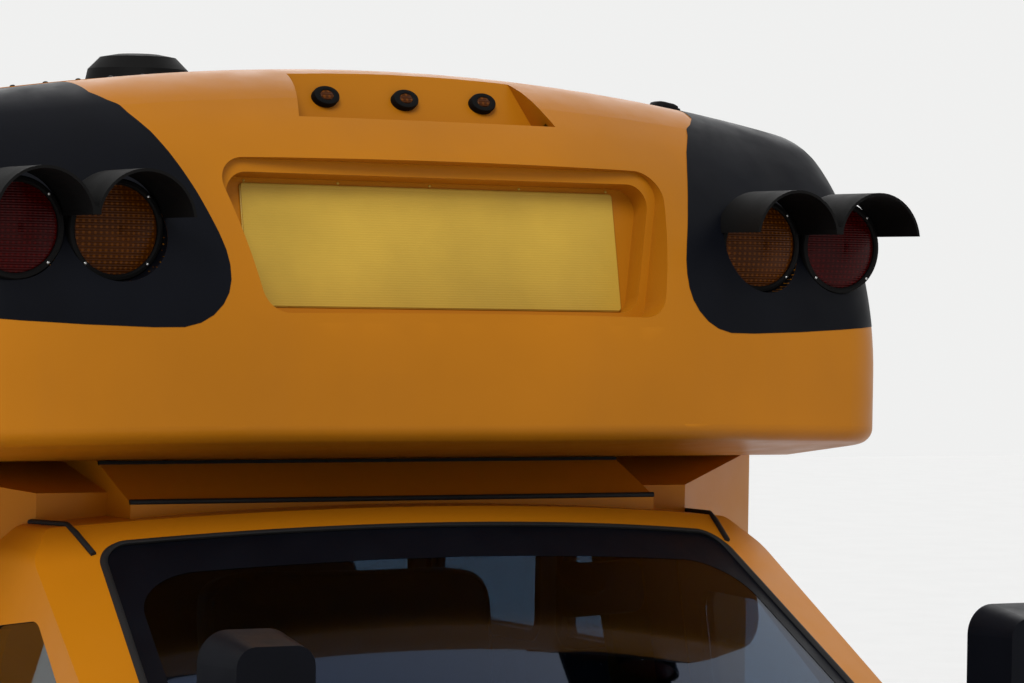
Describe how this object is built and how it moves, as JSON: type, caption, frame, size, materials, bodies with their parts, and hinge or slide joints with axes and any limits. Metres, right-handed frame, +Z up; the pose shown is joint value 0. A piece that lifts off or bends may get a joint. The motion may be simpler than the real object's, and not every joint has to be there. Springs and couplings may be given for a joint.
{
  "type": "small school bus on a van chassis",
  "caption": "School bus body on a cutaway van: moulded front cap with blank sign and hooded lamps, opening doors, hood and stop arm, steered front wheels, twin rear wheels.",
  "frame": {"origin": "on the ground under the middle of the bus's box", "axes": "front is -Y, driver's side is +X, up is +Z"},
  "size_m": [2.57, 6.9, 2.996],
  "materials": {
    "body_yellow": "gloss",
    "cap_yellow": "gloss",
    "roof_white": "gloss",
    "black_trim": "matte",
    "black_gloss": "gloss",
    "sign_yellow": "gloss",
    "amber_lens": "gloss",
    "red_lens": "gloss",
    "clear_lens": "gloss",
    "window_glass": "gloss",
    "frame_black": "satin",
    "chassis_black": "matte",
    "cast_axle": "matte",
    "wheel_steel": "satin",
    "tyre_rubber": "matte",
    "seat_vinyl": "satin",
    "cloth_grey": "matte",
    "dash_grey": "matte",
    "floor_rubber": "matte",
    "stop_red": "gloss",
    "tank_steel": "satin",
    "exhaust_steel": "matte"
  },
  "bodies": {
    "body": {"front_cap": "cap_yellow", "sign_panel": "sign_yellow", "lamp_hoods": "black_trim", "amber_lenses": "amber_lens", "red_lenses": "red_lens", "roof_shell": "roof_white", "side_wall_right": "body_yellow", "side_wall_left": "body_yellow", "rear_wall": "body_yellow", "front_bulkhead": "body_yellow", "body_floor": "floor_rubber", "rub_rails": "black_trim", "window_frames": "frame_black", "window_glass": "window_glass", "passenger_seats": "seat_vinyl", "cab_shell": "body_yellow", "windshield": "window_glass", "front_side_glass": "window_glass", "roof_fairing": "body_yellow", "front_fenders": "body_yellow", "grille": "black_trim", "headlamps": "clear_lens", "bumpers": "frame_black", "chassis_frame": "chassis_black", "engine_block": "cast_axle", "front_suspension": "cast_axle", "rear_axle": "cast_axle", "wheel_liners": "black_trim", "driver_seat": "cloth_grey", "dashboard": "dash_grey", "stop_arm_brackets": "black_trim", "mirrors": "black_gloss", "roof_vents": "black_gloss", "fuel_tank": "tank_steel", "exhaust": "exhaust_steel"},
    "driver_door": {"driver_door": "body_yellow", "driver_door_glass": "window_glass"},
    "hood": {"hood": "body_yellow"},
    "entry_leaf_front": {"entry_leaf_front": "frame_black", "entry_glass_front": "window_glass"},
    "entry_leaf_rear": {"entry_leaf_rear": "frame_black", "entry_glass_rear": "window_glass"},
    "rear_door": {"rear_door": "body_yellow", "rear_door_glass": "window_glass"},
    "stop_arm": {"stop_arm": "stop_red"},
    "steering_wheel": {"steering_wheel": "dash_grey"},
    "knuckle_left": {"knuckle_left": "cast_axle"},
    "knuckle_right": {"knuckle_right": "cast_axle"},
    "wheel_front_left": {"tyre_front_left": "tyre_rubber", "rim_front_left": "wheel_steel"},
    "wheel_front_right": {"tyre_front_right": "tyre_rubber", "rim_front_right": "wheel_steel"},
    "wheel_rear_left": {"tyre_rear_left": "tyre_rubber", "rim_rear_left": "wheel_steel"},
    "wheel_rear_right": {"tyre_rear_right": "tyre_rubber", "rim_rear_right": "wheel_steel"}
  },
  "joints": [
    {"name": "steer_left", "type": "hinge", "parent": "body", "child": "knuckle_left", "pos_m": [0.76, -2.58, 0.372], "axis": [0, 0, 1], "range_deg": [-35, 35]},
    {"name": "steer_right", "type": "hinge", "parent": "body", "child": "knuckle_right", "pos_m": [-0.76, -2.58, 0.372], "axis": [0, 0, 1], "range_deg": [-35, 35]},
    {"name": "steering_wheel_turn", "type": "hinge", "parent": "body", "child": "steering_wheel", "pos_m": [0.48, -1.96, 1.2], "axis": [0, 0.766, 0.6428], "range_deg": [-500, 500]},
    {"name": "spin_front_left", "type": "hinge", "parent": "knuckle_left", "child": "wheel_front_left", "pos_m": [0.86, -2.58, 0.372], "axis": [1, 0, 0], "continuous": true},
    {"name": "spin_front_right", "type": "hinge", "parent": "knuckle_right", "child": "wheel_front_right", "pos_m": [-0.86, -2.58, 0.372], "axis": [1, 0, 0], "continuous": true},
    {"name": "spin_rear_left", "type": "hinge", "parent": "body", "child": "wheel_rear_left", "pos_m": [0.86, 1.46, 0.372], "axis": [1, 0, 0], "continuous": true},
    {"name": "spin_rear_right", "type": "hinge", "parent": "body", "child": "wheel_rear_right", "pos_m": [-0.86, 1.46, 0.372], "axis": [1, 0, 0], "continuous": true},
    {"name": "driver_door_hinge", "type": "hinge", "parent": "body", "child": "driver_door", "pos_m": [1.0083, -2.113, 1.1], "axis": [0, 0, -1], "range_deg": [0, 65]},
    {"name": "hood_hinge", "type": "hinge", "parent": "body", "child": "hood", "pos_m": [0, -2.73, 1.227], "axis": [-1, 0, 0], "range_deg": [0, 50]},
    {"name": "entry_front_hinge", "type": "hinge", "parent": "body", "child": "entry_leaf_front", "pos_m": [-1.1633, -0.985, 1.3], "axis": [0, 0, 1], "range_deg": [0, 85]},
    {"name": "entry_rear_hinge", "type": "hinge", "parent": "body", "child": "entry_leaf_rear", "pos_m": [-1.1633, -0.255, 1.3], "axis": [0, 0, 1], "range_deg": [-85, 0]},
    {"name": "rear_door_hinge", "type": "hinge", "parent": "body", "child": "rear_door", "pos_m": [-0.48, 3.3883, 1.485], "axis": [0, 0, 1], "range_deg": [0, 110]},
    {"name": "stop_arm_hinge", "type": "hinge", "parent": "body", "child": "stop_arm", "pos_m": [1.185, -0.96, 1.25], "axis": [0, 0, -1], "range_deg": [0, 90]}
  ],
  "couplings": [
    {"joint": "steer_right", "follows": "steer_left", "ratio": 1},
    {"joint": "steering_wheel_turn", "follows": "steer_left", "ratio": 14},
    {"joint": "entry_rear_hinge", "follows": "entry_front_hinge", "ratio": -1}
  ]
}
